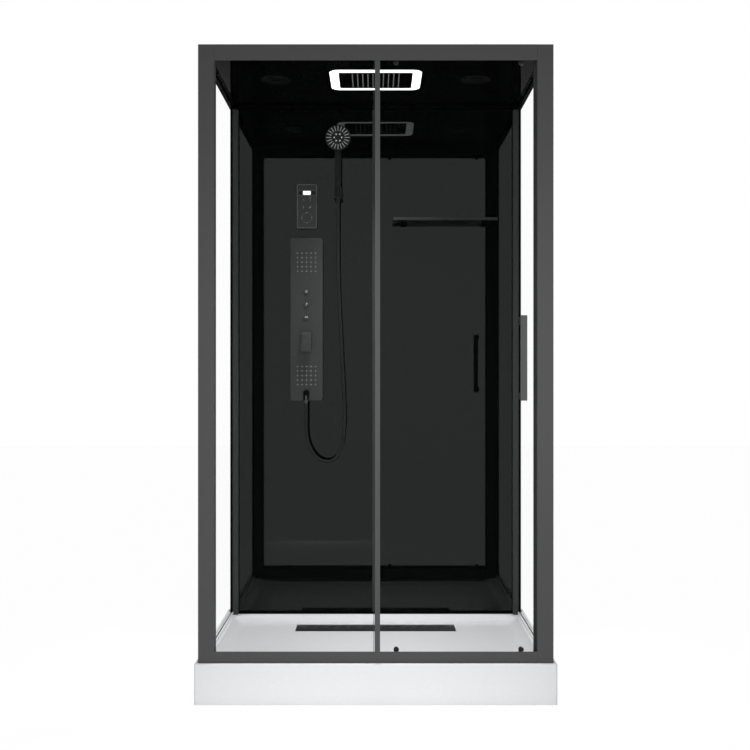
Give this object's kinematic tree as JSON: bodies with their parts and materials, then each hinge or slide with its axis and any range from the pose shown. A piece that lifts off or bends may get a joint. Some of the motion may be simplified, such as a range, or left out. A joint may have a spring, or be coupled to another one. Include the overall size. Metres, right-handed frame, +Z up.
{
  "type": "shower cabin",
  "caption": "Upright shower cabin with a tray, black rear glass, clear sides, a sliding door, a massage column with mixer and handset, a shelf and a lit roof shower.",
  "frame": {"origin": "on the floor, under the middle foot, at the centre of the tray", "axes": "+X to the right as seen from the door, +Y from the door to the black rear wall, +Z up"},
  "size_m": [1.2, 0.83, 2.222],
  "materials": {
    "tray_white": "gloss",
    "zinc_steel": "satin",
    "foot_black": "matte",
    "pipe_grey": "matte",
    "cover_black": "satin",
    "frame_grey": "satin",
    "profile_grey": "satin",
    "clear_glass": "gloss",
    "black_glass": "gloss",
    "roof_black": "gloss",
    "light_white": "matte",
    "nozzle_grey": "matte",
    "grille_black": "gloss",
    "housing_grey": "matte",
    "impeller_grey": "matte",
    "column_grey": "satin",
    "jet_grey": "matte",
    "valve_brass": "satin",
    "button_grey": "gloss",
    "outlet_metal": "satin",
    "hose_grey": "satin",
    "face_grey": "satin",
    "display_white": "gloss",
    "key_black": "gloss",
    "shelf_glass": "gloss",
    "bracket_grey": "satin",
    "seal_black": "matte",
    "fitting_black": "matte",
    "roller_white": "matte",
    "screw_steel": "satin"
  },
  "bodies": {
    "cabin": {"shower_tray": "tray_white", "tray_frame": "zinc_steel", "tray_feet": "foot_black", "drain_trap": "pipe_grey", "rain_feed": "pipe_grey", "front_post_left": "frame_grey", "front_post_right": "frame_grey", "front_top_rail": "frame_grey", "front_bottom_rail": "frame_grey", "side_top_rails": "frame_grey", "glass_channels": "frame_grey", "rear_column_left": "frame_grey", "rear_column_right": "frame_grey", "rear_middle_column": "frame_grey", "rear_top_rail": "frame_grey", "fixed_glass_upright": "profile_grey", "fixed_glass": "clear_glass", "side_glass_left": "clear_glass", "side_glass_right": "clear_glass", "back_glass_left": "black_glass", "back_glass_right": "black_glass", "roof_panel": "roof_black", "rain_plate": "roof_black", "light_ring": "light_white", "rain_nozzles": "nozzle_grey", "fan_grille": "grille_black", "speaker_grille": "grille_black", "fan_housing": "housing_grey", "speaker_driver": "housing_grey", "power_box": "housing_grey", "column_cover": "column_grey", "handset_holder": "column_grey", "control_housing": "column_grey", "jet_pads": "jet_grey", "valve_body": "valve_brass", "hose_outlet": "outlet_metal", "shower_hose": "hose_grey", "control_display": "display_white", "control_keys": "key_black", "shelf": "shelf_glass", "shelf_brackets": "bracket_grey", "wall_screws": "screw_steel"},
    "drain_cover": {"drain_cover": "cover_black"},
    "door": {"door_glass": "clear_glass", "door_seals": "seal_black", "door_handle": "profile_grey", "handle_standoffs": "fitting_black", "roller_carriers": "fitting_black"},
    "roller_top_left": {"roller_top_left": "roller_white"},
    "roller_top_right": {"roller_top_right": "roller_white"},
    "roller_bottom_left": {"roller_bottom_left": "roller_white"},
    "roller_bottom_right": {"roller_bottom_right": "roller_white"},
    "fan_impeller": {"fan_impeller": "impeller_grey"},
    "mixer_collar": {"mixer_collar": "column_grey"},
    "mixer_knob": {"mixer_knob": "column_grey"},
    "button_top": {"button_top": "button_grey"},
    "button_middle": {"button_middle": "button_grey"},
    "button_bottom": {"button_bottom": "button_grey"},
    "handset": {"handset_body": "column_grey", "handset_face": "face_grey"}
  },
  "joints": [
    {"name": "door_slide", "type": "slide", "parent": "cabin", "child": "door", "axis": [-1, 0, 0], "range_m": [0, 0.44]},
    {"name": "roller_top_left_spin", "type": "hinge", "parent": "door", "child": "roller_top_left", "pos_m": [0.068, -0.353, 2.158], "axis": [0, -1, 0], "continuous": true},
    {"name": "roller_top_right_spin", "type": "hinge", "parent": "door", "child": "roller_top_right", "pos_m": [0.483, -0.353, 2.158], "axis": [0, -1, 0], "continuous": true},
    {"name": "roller_bottom_left_spin", "type": "hinge", "parent": "door", "child": "roller_bottom_left", "pos_m": [0.068, -0.353, 0.148], "axis": [0, -1, 0], "continuous": true},
    {"name": "roller_bottom_right_spin", "type": "hinge", "parent": "door", "child": "roller_bottom_right", "pos_m": [0.483, -0.353, 0.148], "axis": [0, -1, 0], "continuous": true},
    {"name": "fan_spin", "type": "hinge", "parent": "cabin", "child": "fan_impeller", "pos_m": [-0.368, -0.002, 2.1925], "axis": [0, 0, 1], "continuous": true},
    {"name": "mixer_turn", "type": "hinge", "parent": "cabin", "child": "mixer_collar", "pos_m": [-0.278, 0.351, 1.221], "axis": [0, 1, 0], "range_deg": [-45, 45]},
    {"name": "mixer_tilt", "type": "hinge", "parent": "mixer_collar", "child": "mixer_knob", "pos_m": [-0.278, 0.345, 1.221], "axis": [-1, 0, 0], "range_deg": [0, 20]},
    {"name": "button_top_press", "type": "slide", "parent": "cabin", "child": "button_top", "axis": [0, 1, 0], "range_m": [0, 0.003], "stiffness_N_per_m": 300},
    {"name": "button_middle_press", "type": "slide", "parent": "cabin", "child": "button_middle", "axis": [0, 1, 0], "range_m": [0, 0.003], "stiffness_N_per_m": 300},
    {"name": "button_bottom_press", "type": "slide", "parent": "cabin", "child": "button_bottom", "axis": [0, 1, 0], "range_m": [0, 0.003], "stiffness_N_per_m": 300},
    {"name": "handset_lift", "type": "slide", "parent": "cabin", "child": "handset", "axis": [0, 0, 1], "range_m": [0, 0.06], "deforming": ["shower_hose"]},
    {"name": "drain_cover_lift", "type": "slide", "parent": "cabin", "child": "drain_cover", "axis": [0, 0, 1], "range_m": [0, 0.03]}
  ],
  "couplings": [
    {"joint": "roller_top_left_spin", "follows": "door_slide", "rad_per_m": 98.039},
    {"joint": "roller_top_right_spin", "follows": "door_slide", "rad_per_m": 98.039},
    {"joint": "roller_bottom_left_spin", "follows": "door_slide", "rad_per_m": -98.039},
    {"joint": "roller_bottom_right_spin", "follows": "door_slide", "rad_per_m": -98.039}
  ]
}
